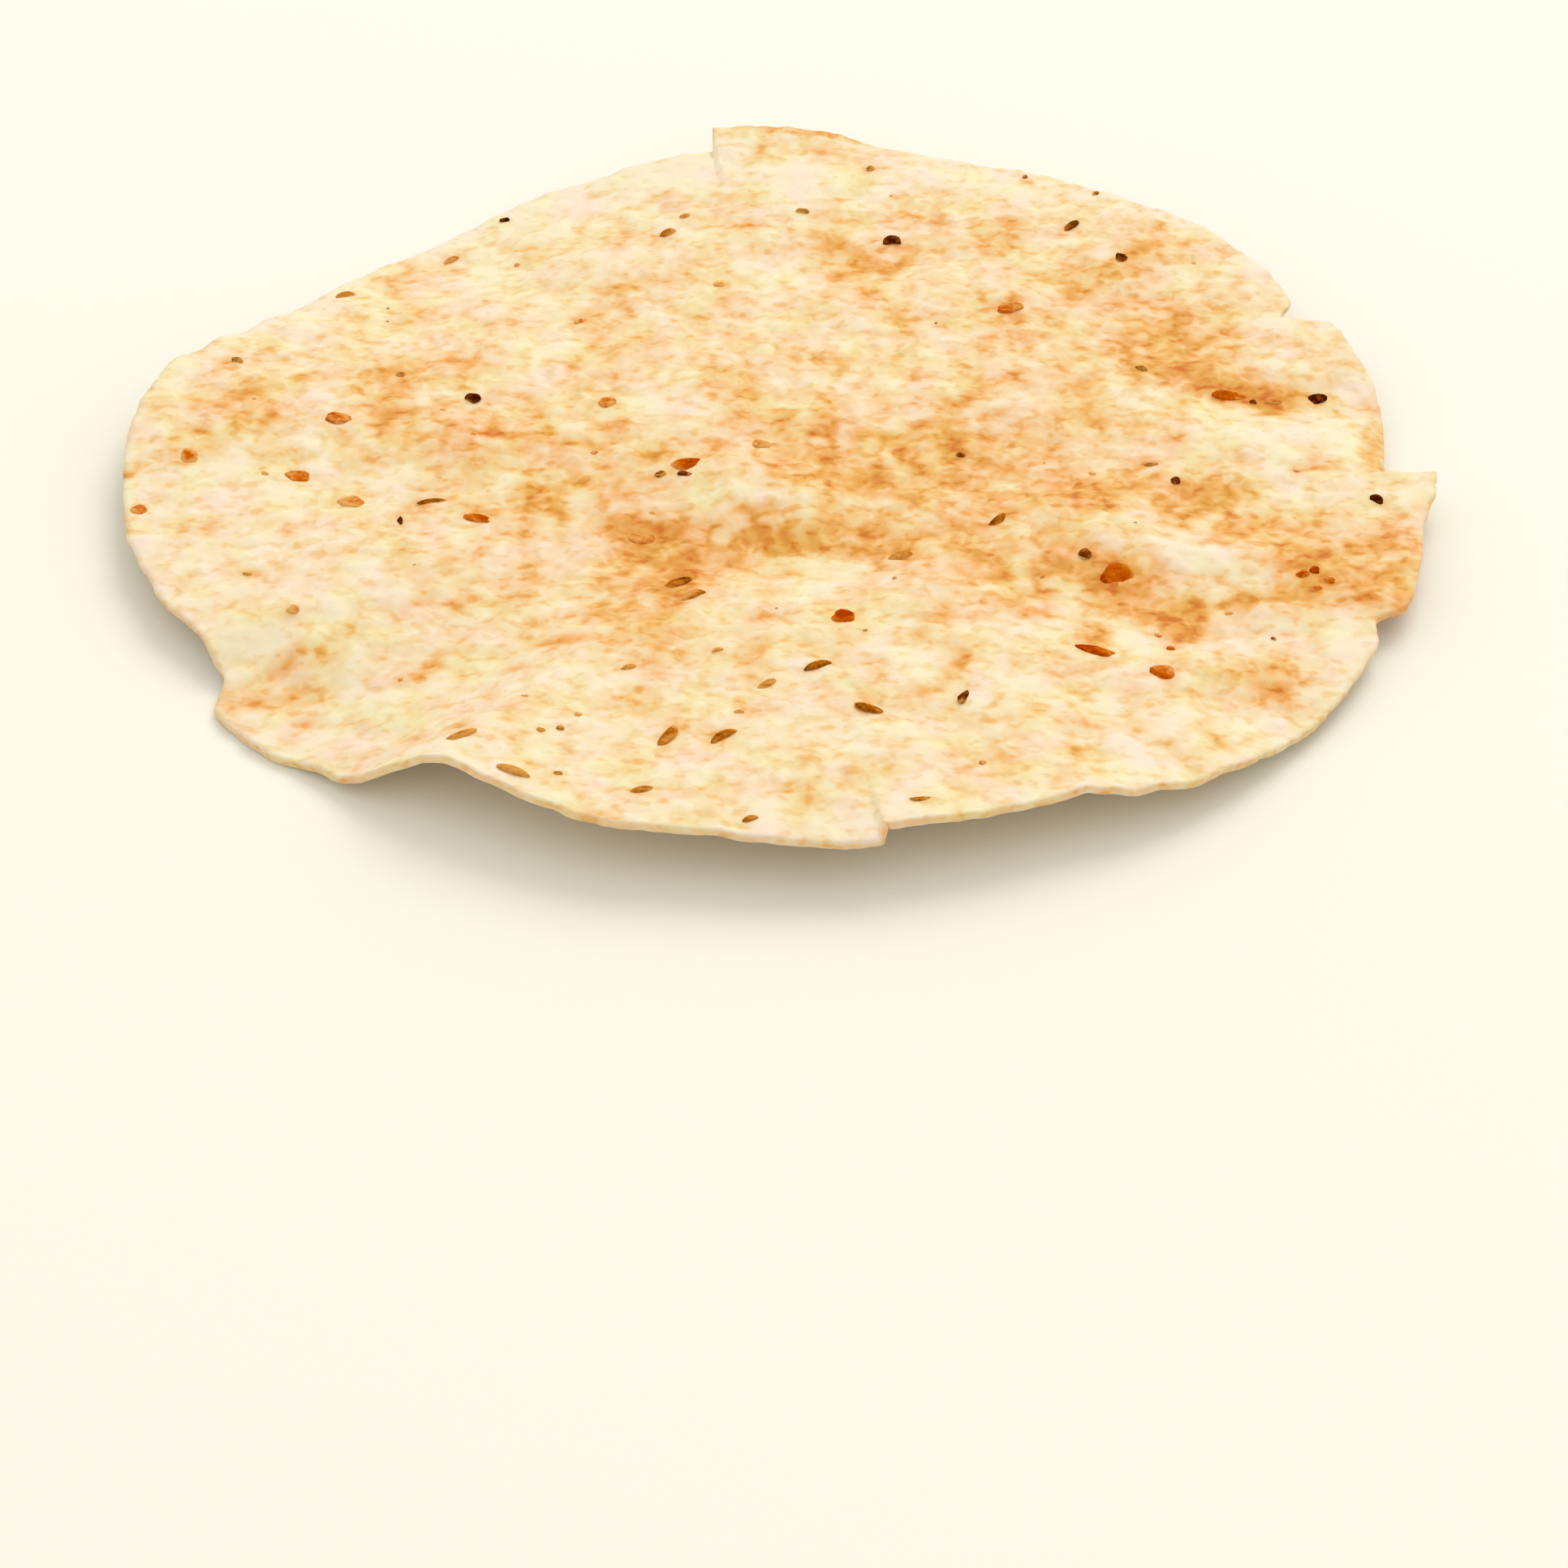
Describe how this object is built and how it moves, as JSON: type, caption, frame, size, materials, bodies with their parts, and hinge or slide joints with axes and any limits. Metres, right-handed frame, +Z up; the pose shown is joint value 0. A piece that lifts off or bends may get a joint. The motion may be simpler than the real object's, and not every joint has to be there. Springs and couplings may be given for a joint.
{
  "type": "papadum",
  "caption": "Round thin crisp fried lentil flatbread, wavy and blistered, with a torn rim and cumin, pepper and husk flakes baked into its face.",
  "frame": {"origin": "middle of the underside box, at the lowest point that the sheet rests on", "axes": "+Z up out of the seeded face, +X along the widest way across, +Y across it"},
  "size_m": [0.183, 0.177, 0.0096],
  "materials": {
    "papadum": "dry matte crisp dough, cream with tan toasted patches and dark seeds",
    "pepper": "dull dark cracked peppercorn",
    "cumin": "dull ribbed brown seed",
    "husk": "dull red-brown dried flake"
  },
  "bodies": {
    "root": {"papadum": "papadum"}
  },
  "joints": []
}
